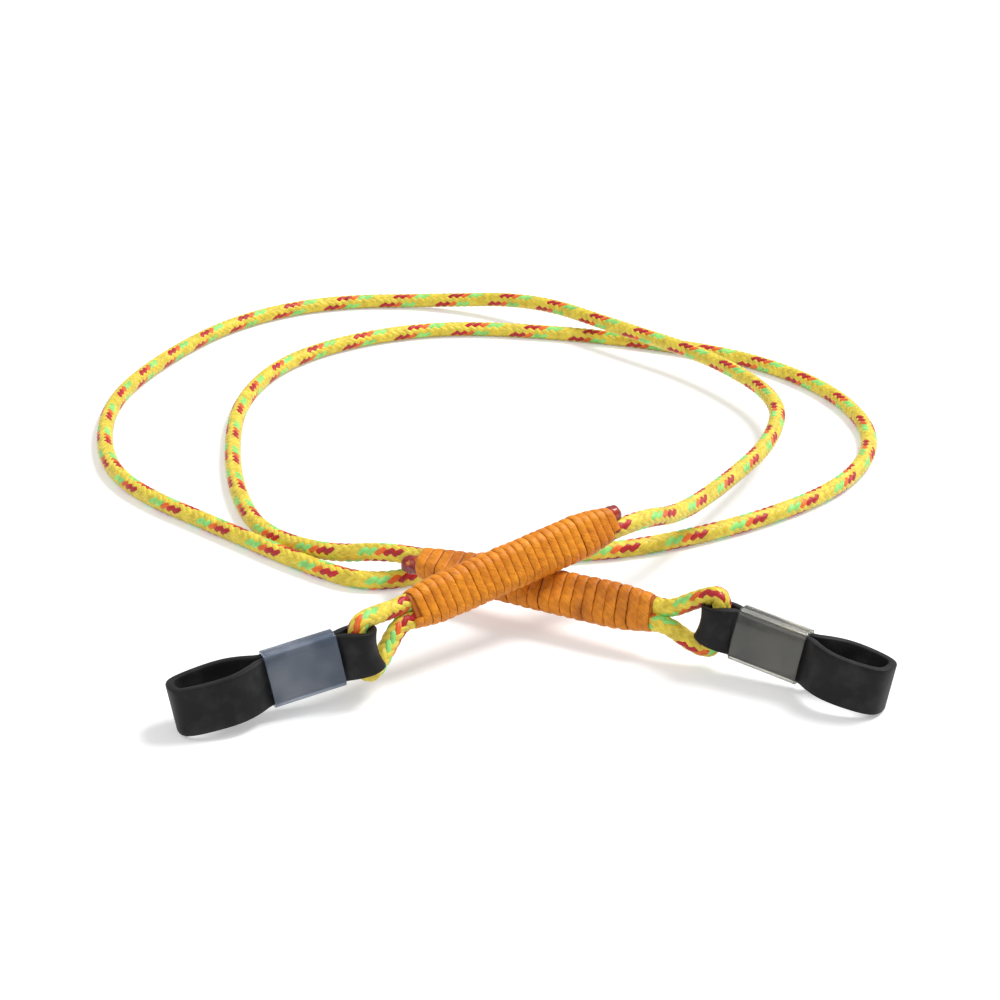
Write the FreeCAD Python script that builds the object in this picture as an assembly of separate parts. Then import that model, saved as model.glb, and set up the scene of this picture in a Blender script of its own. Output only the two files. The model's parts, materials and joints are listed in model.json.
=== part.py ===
"""Eyeglass retainer strap: one braided cord with a whipped eye, a rubber temple loop and a clear
slider at each end.  Millimetres.  The strap lies on a table at z = 0 in two turns, its ends crossed.

Each end is made in two local frames and then placed:
  the whipping frame has its origin at the whipping's inner end, +x along the whipping towards the
  eye, and +z from the lower cord leg to the upper one;
  the band frame has its origin on the cord inside the rubber fold, +x along the band towards the
  temple loop, and +z across the band's width.
"""
import FreeCAD, Part
import math
import os
from FreeCAD import Vector

# Cord
CORD_D = 2.3                # braided cord, diameter
LEG_SPACING = CORD_D        # the two legs of an eye lie side by side
EXIT_RUN = 4.4              # the cord runs straight out of each whipping for this far

# Whipping thread
THREAD_T = 0.33             # how far a turn stands out from the cord
GROOVE_DEPTH = 0.16         # how deep the groove between two turns is
END_TAPER = 0.35            # share of the thread's height that the last turns keep
TAPER_TURNS = 4             # turns over which each end tapers

# Melted tail of the cord
TIP_R = 1.1
TIP_NECK_R = 1.0            # where it comes out of the whipping
TIP_FLAT_R = 0.35           # the end, pressed flat while it is soft

# Rubber band, cut as a flat ring and doubled
BAND_WIDTH = 5.3
BAND_T = 0.95
DOUBLED_GAP = 0.06          # left between the two walls inside the slider
FOLD_CLEAR = 0.2            # around the cord inside the fold
FOLD_WIDTH = 3.0            # the band's width where the cord pulls its edges in
FOLD_TAPER_START = -1.9     # where that narrowing starts, from the cord
FOLD_TAPER_END = 2.0        # and where the band has its full width again
EYE_CURVE_R = 9.5           # the cord's curve inside the fold
FOLD_R = CORD_D / 2 + FOLD_CLEAR + BAND_T / 2   # of the fold, on the middle of the wall
MEET_RUN = 0.125            # from there to where the two walls come together
WALLS_MEET = FOLD_R + MEET_RUN
LOOP_OUTER_HALF = 3.15      # half the temple loop's outside width, before its sides are rounded
LOOP_SIDE_R = 4.0           # the walls' bend there
LOOP_END_R = 2.3            # and round the far end, on the middle of the wall
LOOP_REACH = 20.3           # from the cord to the outside of the temple loop
WALL_BEND_R = 1.6           # the walls' bend at each end of the doubled stretch

# Clear slider
SLIDER_LENGTH = 8.1
SLIDER_WALL = 0.4
SLIDER_CLEAR = 0.1
SLIDER_SET_BACK = 0.25      # from where the band's walls come together
SLIDER_START = WALLS_MEET + SLIDER_SET_BACK
LOOP_OPENS = 3.6            # from the slider's end to where the temple loop is widest
LOOP_WIDEST = SLIDER_START + SLIDER_LENGTH + LOOP_OPENS
SLIDER_CORNER = 0.3         # inner corner radius of its section

# Eye
EYE_CORNER_INSIDE_R = 0.1   # of the cord's bend over the band's edge, on its inside
EYE_CORNER_R = CORD_D / 2 + EYE_CORNER_INSIDE_R
EYE_THROAT_R = 3.0          # the cord's bend where the legs part
EYE_THROAT = 1.1            # where they part, past the whipping
EYE_CORNER_REACH = 1.12     # from the end of the fold's curve to the corner of that bend, in radii

# The left whipping lies across the right one, so its inner end is both their half heights above this
CROSSING_BASE = 5.68
HALF_HEIGHTS = 1.8 * CORD_D + 2 * THREAD_T

# Where the two ends lie.  Headings turn from +x towards +y, dips are below level.
ENDS = {
    "left": {
        "inner": Vector(9.2, 14.2, CROSSING_BASE + HALF_HEIGHTS),
        "heading": 217.0, "dip": 5.9, "roll": 25.0,
        "turns": 27, "pitch": 1.1, "tail_leg": +1, "tail_length": 1.7,
        "fold": Vector(-19.3, -9.65, 5.85), "band_heading": 201.0, "band_dip": 8.8, "band_lean": 8.0,
        "rises": (-2.6, -1.95),
    },
    "right": {
        "inner": Vector(-13.6, 16.9, 4.28), "heading": -29.5, "dip": -1.1, "roll": 50.0,
        "turns": 23, "pitch": 1.4, "tail_leg": -1, "tail_length": 1.7,
        "fold": Vector(20.75, -2.7, 5.55), "band_heading": -30.5, "band_dip": 7.8, "band_lean": 9.0,
        "rises": (-1.57, -2.6),
    },
}

# The free cord's route between the two whippings, after its straight exits
ROUTE = [
    (18.3, 24.9, 6.9), (26.0, 40.2, 5.2), (33.3, 55.7, 4.4), (36.5, 72.7, 4.1), (27.9, 91.0, 4.1),
    (15.2, 104.2, 4.1), (1.7, 119.2, 4.1), (-14.8, 127.3, 1.17), (-32.8, 126.5, 1.17),
    (-46.8, 116.2, 1.17), (-56.1, 97.7, 1.17), (-61.1, 78.7, 1.17), (-58.6, 58.2, 1.17),
    (-52.3, 45.7, 1.17), (-39.3, 33.7, 1.17), (-27.8, 22.7, 1.17), (-18.8, 16.5, 1.17),
    (-8.8, 23.2, 1.17), (4.2, 25.9, 1.17), (14.2, 27.7, 1.17), (29.7, 36.2, 1.17),
    (42.7, 48.2, 1.17), (49.1, 64.2, 1.17), (46.5, 82.2, 1.17), (36.2, 97.2, 1.17),
    (21.2, 105.7, 1.17), (3.7, 111.2, 1.17), (-12.8, 113.3, 1.17), (-27.3, 107.2, 1.17),
    (-37.8, 95.7, 1.17), (-42.1, 78.7, 1.17), (-41.1, 60.2, 1.17), (-38.3, 43.7, 1.17),
    (-33.8, 31.7, 1.17), (-25.1, 23.1, 2.4),
]
CORNER_SHARE = 0.45         # of the shorter run, taken by each arc of the route

X = Vector(1, 0, 0)
Y = Vector(0, 1, 0)
Z = Vector(0, 0, 1)


# ---------------------------------------------------------------- placing
def direction(heading, dip):
    """Unit vector at a heading, dipping below level."""
    h, d = math.radians(heading), math.radians(dip)
    return Vector(math.cos(h) * math.cos(d), math.sin(h) * math.cos(d), -math.sin(d))


def leaning_frame(origin, along, lean):
    """Placement with +x along a direction and +z upright, then leaning towards +y by an angle."""
    upright = (Z - along * along.dot(Z)).normalize()
    away = along.cross(upright)
    if away.y < 0:
        away = away * -1
    angle = math.radians(lean)
    up = upright * math.cos(angle) + away * math.sin(angle)
    return FreeCAD.Placement(origin, FreeCAD.Rotation(along, up.cross(along), up, "XZY"))


# ---------------------------------------------------------------- routes and tubes
def rounded_edges(points, radii):
    """Straight edges between points, joined by tangent arcs.  One radius for each inner point."""
    edges = []
    start = points[0]
    for before, corner, after, radius in zip(points, points[1:], points[2:], radii):
        into = (corner - before).normalize()
        out = (after - corner).normalize()
        half_turn = into.getAngle(out) / 2
        reach = radius * math.tan(half_turn)
        first, last = corner - into * reach, corner + out * reach
        inward = (out - into).normalize()
        middle = corner + inward * (radius / math.cos(half_turn) - radius)
        if first.distanceToPoint(start) > 1e-6:
            edges.append(Part.LineSegment(start, first).toShape())
        edges.append(Part.Arc(first, middle, last).toShape())
        start = last
    if start.distanceToPoint(points[-1]) > 1e-6:
        edges.append(Part.LineSegment(start, points[-1]).toShape())
    return edges


def route_radii(points):
    """The largest arc that two neighbouring runs allow at each inner point."""
    radii = []
    for before, corner, after in zip(points, points[1:], points[2:]):
        shorter = min(before.distanceToPoint(corner), corner.distanceToPoint(after))
        half_turn = (corner - before).getAngle(after - corner) / 2
        radii.append(CORNER_SHARE * shorter / math.tan(half_turn))
    return radii


def tube(edges, diameter):
    """Round solid that follows tangent edges."""
    wire = Part.Wire(edges)
    begin = edges[0].valueAt(edges[0].FirstParameter)
    heading = edges[0].tangentAt(edges[0].FirstParameter)
    ring = Part.Wire(Part.makeCircle(diameter / 2, begin, heading))
    return wire.makePipeShell([ring], True, False)


def one_solid(shape):
    """The single solid that a boolean left, with its split faces joined."""
    clean = shape.removeSplitter()
    return clean.Solids[0] if len(clean.Solids) == 1 else clean


# ---------------------------------------------------------------- whipping
def turn_height(turn, turns):
    """How far the crest of one turn stands out: less over the last turns at each end."""
    from_end = min(turn, turns - 1 - turn)
    share = min(1.0, END_TAPER + (1 - END_TAPER) * from_end / TAPER_TURNS)
    return THREAD_T * share


def whipping_profile(turns, pitch):
    """Section of the wound thread along one side: a flat inside and one crest for each turn."""
    inside = CORD_D / 2
    edges = [Part.LineSegment(Vector(turns * pitch, inside, 0), Vector(0, inside, 0)).toShape()]
    valleys = [inside + turn_height(0, turns) / 2]
    for turn in range(turns - 1):
        lower = min(turn_height(turn, turns), turn_height(turn + 1, turns))
        valleys.append(inside + max(lower - GROOVE_DEPTH, lower / 2))
    valleys.append(inside + turn_height(turns - 1, turns) / 2)
    edges.append(Part.LineSegment(Vector(0, inside, 0), Vector(0, valleys[0], 0)).toShape())
    for turn in range(turns):
        begin = Vector(turn * pitch, valleys[turn], 0)
        crest = Vector((turn + 0.5) * pitch, inside + turn_height(turn, turns), 0)
        end = Vector((turn + 1) * pitch, valleys[turn + 1], 0)
        edges.append(Part.Arc(begin, crest, end).toShape())
    edges.append(Part.LineSegment(end, Vector(turns * pitch, inside, 0)).toShape())
    return Part.Face(Part.Wire(edges))


def whipping(turns, pitch):
    """The thread wound round both legs: half round at each leg and straight between them."""
    profile = whipping_profile(turns, pitch)
    upper = profile.translated(Z * (LEG_SPACING / 2))
    lower = profile.translated(Z * (-LEG_SPACING / 2))
    side = lower.extrude(Z * LEG_SPACING)
    over = upper.revolve(Z * (LEG_SPACING / 2), X, 180)
    under = lower.revolve(Z * (-LEG_SPACING / 2), X, -180)
    other_side = side.mirror(Vector(), Y)
    return one_solid(over.fuse([side, under, other_side]))


def melted_tip(length):
    """Tail of the cord, cut and melted to a bead, at the inner end of its leg."""
    neck = Vector(0, TIP_NECK_R, 0)
    shoulder = Vector(-length * 0.8, TIP_R * 0.82, 0)
    flat = Vector(-length, TIP_FLAT_R, 0)
    edges = [
        Part.LineSegment(Vector(), neck).toShape(),
        Part.Arc(neck, Vector(-length * 0.45, TIP_R, 0), shoulder).toShape(),
        Part.Arc(shoulder, Vector(-length * 0.93, TIP_R * 0.62, 0), flat).toShape(),
        Part.LineSegment(flat, Vector(-length, 0, 0)).toShape(),
        Part.LineSegment(Vector(-length, 0, 0), Vector()).toShape(),
    ]
    return Part.Face(Part.Wire(edges)).revolve(Vector(), X, 360)


# ---------------------------------------------------------------- rubber band
def tangent_corner(centre_x, radius, outer_x, point):
    """Where a circle's upright tangent at outer_x meets its tangent through a point."""
    dx, dy = point.x - centre_x, point.y
    spread = math.acos(radius / math.hypot(dx, dy))
    toward = math.atan2(dy, dx)
    if outer_x < centre_x:
        touch, end = toward + spread, math.pi
    else:
        touch, end = toward - spread, 0.0
    half = abs(end - touch) / 2
    middle = (end + touch) / 2
    reach = radius / math.cos(half)
    return Vector(centre_x + reach * math.cos(middle), reach * math.sin(middle), 0)


def band_centre_line():
    """Closed line along the middle of the band's wall: fold, doubled stretch and temple loop."""
    end_centre = LOOP_REACH - BAND_T / 2 - LOOP_END_R
    half_gap = (BAND_T + DOUBLED_GAP) / 2
    walls_meet = Vector(WALLS_MEET, half_gap, 0)
    walls_part = Vector(SLIDER_START + SLIDER_LENGTH + WALL_BEND_R * 0.2, half_gap, 0)
    widest = Vector(LOOP_WIDEST, LOOP_OUTER_HALF - BAND_T / 2, 0)
    points = [
        Vector(-FOLD_R, 0, 0),
        tangent_corner(0, FOLD_R, -FOLD_R, walls_meet),
        walls_meet,
        walls_part,
        widest,
        tangent_corner(end_centre, LOOP_END_R, end_centre + LOOP_END_R, widest),
        Vector(end_centre + LOOP_END_R, 0, 0),
    ]
    upper = rounded_edges(points, [FOLD_R, WALL_BEND_R * 0.4, WALL_BEND_R, LOOP_SIDE_R, LOOP_END_R])
    lower = [edge.mirror(Vector(), Y) for edge in reversed(upper)]
    return Part.Wire(Part.__sortEdges__(upper + lower))


def band_side_view():
    """The band's outline from the side: its full width, narrowed evenly where the cord pulls it in."""
    half, fold_half = BAND_WIDTH / 2, FOLD_WIDTH / 2
    back = -(CORD_D / 2 + FOLD_CLEAR + BAND_T + EYE_CURVE_R)
    middle = Vector((FOLD_TAPER_START + FOLD_TAPER_END) / 2, 0, (half + fold_half) / 2)
    knee = (FOLD_TAPER_END - FOLD_TAPER_START) / 2
    points = [
        Vector(back, 0, fold_half), Vector(middle.x - knee * 0.5, 0, fold_half),
        Vector(middle.x + knee * 0.5, 0, half), Vector(LOOP_REACH + 1, 0, half),
    ]
    top = rounded_edges(points, [knee * 1.6, knee * 1.6])
    bottom = [edge.mirror(Vector(), Z) for edge in top]
    ends = [
        Part.LineSegment(Vector(back, 0, -fold_half), Vector(back, 0, fold_half)).toShape(),
        Part.LineSegment(Vector(LOOP_REACH + 1, 0, -half), Vector(LOOP_REACH + 1, 0, half)).toShape(),
    ]
    return Part.Face(Part.Wire(Part.__sortEdges__(top + bottom + ends)))


def rubber_band():
    """Rubber band with a saddle fold: the fold follows the cord's curve, the rest stands straight."""
    line = band_centre_line()
    outer = Part.Face(line.makeOffset2D(BAND_T / 2))
    inner = Part.Face(line.makeOffset2D(-BAND_T / 2))
    plan = outer.cut(inner)
    height = BAND_WIDTH * 2
    join = EYE_CURVE_R + WALLS_MEET + (SLIDER_START - WALLS_MEET) / 2 + WALL_BEND_R * 0.2
    curve_centre = Vector(-EYE_CURVE_R, 0, 0)
    # The fold is turned about the centre of the cord's curve
    fold_box = Part.makeBox(EYE_CURVE_R * 2, 20, 2, Vector(join - EYE_CURVE_R * 3, -10, -1))
    fold_plan = plan.common(fold_box)
    sweep = 40
    start = fold_plan.rotated(curve_centre, Y, sweep / 2)
    saddle = start.revolve(curve_centre, Y, -sweep)
    # The rest is pushed straight up from the join
    straight = plan.translated(Z * (-height / 2)).extrude(Z * height)
    core = Part.makeCylinder(join, 20, curve_centre - Y * 10, Y)
    straight = straight.cut(core)
    side = band_side_view().translated(Y * -10).extrude(Y * 20)
    return one_solid(saddle.fuse(straight).common(side))


# ---------------------------------------------------------------- slider
def rounded_section(half_y, half_z, radius, x):
    """Rounded rectangle across the band at x."""
    corners = [(half_y, half_z), (-half_y, half_z), (-half_y, -half_z), (half_y, -half_z)]
    points = [Vector(x, half_y, 0)] + [Vector(x, y, z) for y, z in corners] + [Vector(x, half_y, 0)]
    return Part.Wire(rounded_edges(points, [radius] * 4))


def slider():
    """Clear sleeve, flattened round the doubled band."""
    half_y = BAND_T + DOUBLED_GAP / 2 + SLIDER_CLEAR
    half_z = BAND_WIDTH / 2 + SLIDER_CLEAR
    inner = rounded_section(half_y, half_z, SLIDER_CORNER, SLIDER_START)
    outer = rounded_section(
        half_y + SLIDER_WALL, half_z + SLIDER_WALL, SLIDER_CORNER + SLIDER_WALL, SLIDER_START
    )
    ring = Part.Face(outer).cut(Part.Face(inner))
    return one_solid(ring.extrude(X * SLIDER_LENGTH))


# ---------------------------------------------------------------- cord eye
def fold_curve_point(angle, radius, beyond):
    """Point at an angle and radius on the cord's curve in the fold, moved along its tangent."""
    outward = Vector(math.cos(angle), 0, math.sin(angle))
    tangent = Vector(-math.sin(angle), 0, math.cos(angle))
    return outward * radius - X * EYE_CURVE_R + tangent * beyond


def eye_edges(whip, band, length, rises):
    """Line of the cord through one end: up one leg, round inside the fold and back down the other.

    The cord starts its bends past the band's upper and lower edge, by its own diameter, the band's
    thickness and each rise, which is negative.
    """
    half_leg = LEG_SPACING / 2
    legs = [whip.multVec(Vector(x, 0, z)) for x, z in (
        (0, half_leg), (length + EYE_THROAT, half_leg), (length + EYE_THROAT, -half_leg), (0, -half_leg),
    )]
    edge = FOLD_WIDTH / 2 + BAND_T + CORD_D
    upper, lower = [math.asin((edge + rise) / EYE_CURVE_R) for rise in rises]
    reach = EYE_CORNER_R * EYE_CORNER_REACH
    top = fold_curve_point(upper, EYE_CURVE_R, reach)
    middle = fold_curve_point((upper - lower) / 2, EYE_CURVE_R / math.cos((upper + lower) / 2), 0)
    bottom = fold_curve_point(-lower, EYE_CURVE_R, -reach)
    points = [legs[0], legs[1]] + [band.multVec(p) for p in (top, middle, bottom)] + [legs[2], legs[3]]
    radii = [EYE_THROAT_R, EYE_CORNER_R, EYE_CURVE_R, EYE_CORNER_R, EYE_THROAT_R]
    return rounded_edges(points, radii)


def free_cord(exits):
    """The cord between the two whippings, on its route, and the route's points."""
    (left_end, left_way), (right_end, right_way) = exits["left"], exits["right"]
    points = [left_end, left_end + left_way * EXIT_RUN]
    points += [Vector(*p) for p in ROUTE]
    points += [right_end + right_way * EXIT_RUN, right_end]
    radii = route_radii(points)
    edges = rounded_edges(points, radii)
    solid = tube(edges, CORD_D)
    length = sum(edge.Length for edge in edges)
    print("cord: length %.1f, volume %.1f against %.1f" % (
        length, solid.Volume, length * math.pi * CORD_D ** 2 / 4))
    print("cord: radii " + " ".join("%.1f" % r for r in radii))
    print("cord: runs " + " ".join("%.1f" % a.distanceToPoint(b) for a, b in zip(points, points[1:])))
    for point in (points[:2] + points[-2:]):
        print("cord: end point %.2f %.2f %.2f" % tuple(point))
    return solid


def make_end(name, end, nodes):
    """Adds the pieces of one end and returns where the free cord leaves it, and which way."""
    length = end["turns"] * end["pitch"]
    along = direction(end["heading"], end["dip"])
    whip = leaning_frame(end["inner"], along, end["roll"])
    band = leaning_frame(end["fold"], direction(end["band_heading"], end["band_dip"]), end["band_lean"])

    edges = eye_edges(whip, band, length, end["rises"])
    nodes[name + "_cord_eye"] = tube(edges, CORD_D)
    wound = whipping(end["turns"], end["pitch"])
    wound.Placement = whip
    nodes[name + "_whipping"] = wound

    tail = end["tail_leg"] * LEG_SPACING / 2
    tip = melted_tip(end["tail_length"])
    tip.translate(Z * tail)
    tip.Placement = whip.multiply(tip.Placement)
    nodes[name + "_melted_tip"] = tip

    rubber = rubber_band()
    rubber.Placement = band
    nodes[name + "_temple_loop"] = rubber
    sleeve = slider()
    sleeve.Placement = band
    nodes[name + "_slider"] = sleeve

    print("%s: cord in the eye %.1f" % (name, sum(edge.Length for edge in edges)))
    for label, point in (("fold", Vector()), ("temple", Vector(LOOP_REACH - BAND_T / 2 - LOOP_END_R, 0, 0))):
        print("%s: %s at %.4f %.4f %.4f" % ((name, label) + tuple(band.multVec(point))))
    for label, axis in (("x", X), ("y", Y), ("z", Z)):
        print("%s: band %s %.6f %.6f %.6f" % ((name, label) + tuple(band.Rotation.multVec(axis))))
    return whip.multVec(Z * -tail), along * -1


def main():
    os.makedirs("parts", exist_ok=True)
    nodes = {}
    exits = {name: make_end(name, end, nodes) for name, end in ENDS.items()}
    nodes["cord"] = free_cord(exits)
    for name, shape in nodes.items():
        print("%-20s solids %d valid %s volume %.2f box %.2f %.2f %.2f to %.2f %.2f %.2f" % (
            name, len(shape.Solids), shape.isValid(), shape.Volume,
            shape.BoundBox.XMin, shape.BoundBox.YMin, shape.BoundBox.ZMin,
            shape.BoundBox.XMax, shape.BoundBox.YMax, shape.BoundBox.ZMax))
        shape.exportStep("parts/" + name + ".step")


main()
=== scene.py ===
"""Looks of the eyeglass retainer strap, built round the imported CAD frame.  Metres; sizes are given in
millimetres and scaled by MM.

Each end has the two local frames of the CAD source:
  the whipping frame has its origin at the whipping's inner end, +x along the whipping towards the
  eye, and +z from the lower cord leg to the upper one;
  the band frame has its origin on the cord inside the rubber fold, +x along the band towards the
  temple loop, and +z across the band's width.
"""
import json
import math

import bmesh
import bpy
import numpy as np
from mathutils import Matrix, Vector, noise


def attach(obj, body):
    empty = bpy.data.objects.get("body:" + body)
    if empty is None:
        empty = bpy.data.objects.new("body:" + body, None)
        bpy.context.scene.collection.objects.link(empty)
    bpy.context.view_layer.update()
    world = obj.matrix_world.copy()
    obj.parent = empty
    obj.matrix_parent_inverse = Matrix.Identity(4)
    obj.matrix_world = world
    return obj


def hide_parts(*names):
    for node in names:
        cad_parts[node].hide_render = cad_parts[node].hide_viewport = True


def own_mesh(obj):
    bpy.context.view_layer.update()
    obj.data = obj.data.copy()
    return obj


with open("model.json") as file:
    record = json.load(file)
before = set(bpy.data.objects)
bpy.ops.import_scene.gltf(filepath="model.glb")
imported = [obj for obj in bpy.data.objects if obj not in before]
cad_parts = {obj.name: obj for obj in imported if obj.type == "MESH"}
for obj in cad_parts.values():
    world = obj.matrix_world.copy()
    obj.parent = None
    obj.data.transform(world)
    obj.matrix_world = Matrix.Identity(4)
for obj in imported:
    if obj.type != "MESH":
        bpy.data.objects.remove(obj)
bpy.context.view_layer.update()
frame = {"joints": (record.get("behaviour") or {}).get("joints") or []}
joints = {joint["name"]: joint for joint in frame["joints"]}

MM = 0.001

# Cord and braid
CORD_D = 2.3
LEG_SPACING = CORD_D        # between the two legs inside a whipping
CORD_HIDDEN = 1.8           # of the free cord inside each whipping
BRAID_PITCH = 9.6           # one turn of a strand
STRANDS = 8                 # in each direction
BRAID_ANGLE = math.atan(math.pi * CORD_D / BRAID_PITCH)
STRAND_OVERLAP = 1.08       # a strand's width over its share of the cord's girth
STRAND_WIDTH = STRAND_OVERLAP * math.pi * CORD_D / STRANDS * math.cos(BRAID_ANGLE)
STRAND_SHARES = np.array([-0.5, -0.32, 0.0, 0.32, 0.5])     # of its width, where its surface is sampled
STRAND_STEP = 0.3           # between the samples along it
STRAND_DEPTH = 0.12         # how far its edges lie below its middle
STRAND_ROUNDING = 2.2       # exponent of that fall towards the edges
OVER_R = CORD_D / 2         # outside of a strand that passes over
UNDER_R = CORD_D / 2 - 0.14     # and of one that passes under
MIDDLE_R = (OVER_R + UNDER_R) / 2
CROSSING_STEEPNESS = 1.7    # of the change from over to under
CORE_R = CORD_D / 2 - 0.26
CORE_STEP = 1.0
CORE_SIDES = 10
TRACER_COLOURS = ["green", "green", "orange", "red", "red", "yellow", "yellow", "yellow"]

# Texture coordinates
UV_ROUND = 6.3              # angle that one unit spans
UV_BETWEEN_STRANDS = 3.7    # keeps the strands' filaments from being alike

# Whipping thread.  Shares of the pitch or of the thread's thickness, where nothing else is said.
THREAD_T = 0.33             # in millimetres
THREAD_STEP = 0.2           # between the samples along it, in millimetres
THREAD_SIDES = 14
THREAD_START = 0.25         # middle of the first turn from the whipping's end
THREAD_SHORT = 0.999        # turns that it falls short of the whipping's number, to end where it began
RIDGE_HALF_HEIGHT = 0.62
RIDGE_HALF_WIDTH = 0.49
DRIFT = 0.10                # of a turn along the whipping
DRIFT_RATE = 0.9            # noise steps per turn
SWELL = 0.16                # of its height, as a share of it
SWELL_RATE = 3.1            # noise steps per turn
PLY_PITCH = 2.1             # in millimetres
PLY_DEPTH = 0.08            # by which two plies change the section
PLY_SPREAD = 0.3            # share of that change along the whipping
TAPER_TURNS = 4             # at each end, where the thread lies flatter
TAPER_HEIGHT = 0.55         # share of its height that is left at the very end
DRAWN_TURNS = 5             # at each end, where the legs are drawn together
DRAWN_IN = 0.22             # share by which they are
SHADE_LIFT = 0.05           # of the shaded core over the legs, in millimetres
SHADE_INSET = 0.6           # of the shaded core from each end of the whipping
SHADE_STOPS = 24
SHADE_SIDES = 40

# Melted tip
TAIL_LENGTH = 1.7
BEAD_R = 1.08
BEAD_HIDDEN = 0.5           # share of its length that lies inside the whipping
BEAD_ROUND_FROM = 0.35      # share of its length where it starts to round off
BEAD_ROUNDING = 2.6         # exponent of the rounding
BEAD_LUMPS = 0.16           # share by which its lumps stand out or in
LUMPS_ALONG = 2.2           # noise steps over its length
LUMPS_ACROSS = 1.3          # and per millimetre across it
BEAD_ROWS = 22
BEAD_COLUMNS = 28

# Rubber band
BAND_WIDTH = 5.3
BAND_T = 0.95
BAND_CORNER = 0.12
DOUBLED_GAP = 0.06
FOLD_CLEAR = 0.1
WALLS_MEET = 1.95
LOOP_OUTER_HALF = 3.15
LOOP_WIDEST = 13.9
LOOP_REACHES = {"left": 20.9, "right": 20.3}
SPLIT_X = 7.6               # where the squeezed part of the band starts, hidden in the slider
SADDLE_R = 7.5              # of the fold's curve across its width, at the middle of the cord
SADDLE_UNTIL = 0.6          # along the band: the curve is full up to here
SADDLE_FADE = 1.8           # and fades out over this run
FOLD_HALF_WIDTHS = {"left": (2.1, 2.3), "right": (1.85, 1.9)}    # above and below, at the fold's back
FOLD_REACH = 2.3            # along the band each way from the cord, where it widens to its full width

# Clear slider
SLIDER_LENGTH = 8.1
SLIDER_WALL = 0.4
SLIDER_CLEAR = 0.1
SLIDER_START = 2.2
SLIDER_INNER_CORNER = 0.3
SLIDER_OUTER_CORNER = 0.95
SLIDER_CROWN = 0.12         # of its broad sides
SLIDER_LIP = 0.1            # length over which its ends round off
BROAD_SIDE = 1.5            # a side longer than this is crowned

# Directions of a rounded rectangle's corners, and the angle in degrees at which each arc starts
CORNERS = ((1, 1, 0), (-1, 1, 90), (-1, -1, 180), (1, -1, 270))

# Eye
EYE_THROAT = 1.1            # of each leg straight outside the whipping
EYE_STRAIGHT = 1.0          # and straight inside its end
EYE_HIDDEN = 3.0            # of each leg inside the whipping that is modelled
EYE_SQUEEZE = 0.94          # of the cord's thickness, as it is drawn tight in an eye
EYE_DEPTH = -0.05           # of the cord's middle along the band, from the hinge towards the slider
EYE_BULGE = 0.25            # towards the slider, between that middle and each edge of the band
EYE_BULGE_AT = 0.6          # share of the way from that middle to the edge
EYE_BOW_AT = 0.55           # share of the way from a leg's throat to the edge where it bows outwards
# Corner of the path of the upper (+1) and lower (-1) leg over the edge of each band, along and across
# it, and how far the leg bows outwards on its way there.
EYE_EDGES = {
    "left": {1: (-0.9, 3.15, 0.1), -1: (-0.8, -3.3, 0.2)},
    "right": {1: (-0.8, 3.5, 0.3), -1: (-0.5, -3.3, 0.4)},
}

# The two ends.  Twists turn a whipping's legs at its inner end and at the eye, from its roll.
ENDS = {
    "left": {
        "inner": (9.2, 14.2, 10.48), "heading": 217.0, "dip": 5.9, "roll": 25.0,
        "twists": (0.0, 0.0), "turns": 27, "pitch": 1.1, "tail_leg": +1,
    },
    "right": {
        "inner": (-13.6, 16.9, 4.28), "heading": -29.5, "dip": -1.1, "roll": 50.0,
        "twists": (30.0, -22.0), "turns": 23, "pitch": 1.4, "tail_leg": -1,
    },
}

# The free cord's route between the two whippings, after its straight exits
EXIT_RUN = 4.4
ROUTE = [
    (18.3, 24.9, 6.9), (26.0, 40.2, 5.2), (33.3, 55.7, 4.4), (36.5, 72.7, 4.1), (27.9, 91.0, 4.1),
    (15.2, 104.2, 4.1), (1.7, 119.2, 4.1), (-14.8, 127.3, 1.17), (-32.8, 126.5, 1.17),
    (-46.8, 116.2, 1.17), (-56.1, 97.7, 1.17), (-61.1, 78.7, 1.17), (-58.6, 58.2, 1.17),
    (-52.3, 45.7, 1.17), (-39.3, 33.7, 1.17), (-27.8, 22.7, 1.17), (-18.8, 16.5, 1.17),
    (-8.8, 23.2, 1.17), (4.2, 25.9, 1.17), (14.2, 27.7, 1.17), (29.7, 36.2, 1.17),
    (42.7, 48.2, 1.17), (49.1, 64.2, 1.17), (46.5, 82.2, 1.17), (36.2, 97.2, 1.17),
    (21.2, 105.7, 1.17), (3.7, 111.2, 1.17), (-12.8, 113.3, 1.17), (-27.3, 107.2, 1.17),
    (-37.8, 95.7, 1.17), (-42.1, 78.7, 1.17), (-41.1, 60.2, 1.17), (-38.3, 43.7, 1.17),
    (-33.8, 31.7, 1.17), (-25.1, 23.1, 2.4),
]

# Camera
CAMERA = (-3.8, -222.75, 115.0)
CAMERA_PITCH = 23.2
CAMERA_LENS = 79.2
CAMERA_NEAR = 0.01
SENSOR = 36.0

# Stage; lengths and places are in metres
FLOOR_HALF = 3.0
FLOOR_GREY = 0.80
FLOOR_GLOW = 0.32
WORLD_STRENGTH = 0.46
LAMP_TARGET = (0, 0.05, 0)
LAMPS = {                   # place, size, and power in watts
    "key": ((0.45, 0.25, 0.75), 0.40, 7.4),
    "fill": ((-0.4, -0.45, 0.6), 0.6, 1.6),
}


# ---------------------------------------------------------------- arithmetic
def eased(share):
    """A share held between 0 and 1, with a smooth start and finish."""
    share = np.clip(share, 0, 1)
    return share * share * (3 - 2 * share)


def mixed(first, second, share):
    """A point or an outline that lies a share of the way from the first to the second."""
    return first * (1 - share) + second * share


def around(count):
    """Angles of even steps round a circle."""
    return np.arange(count) * 2 * math.pi / count


def uv_grid(along, across):
    """Texture coordinates of a grid, from its rows and its columns."""
    return np.stack(np.broadcast_arrays(along, across), -1)


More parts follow.
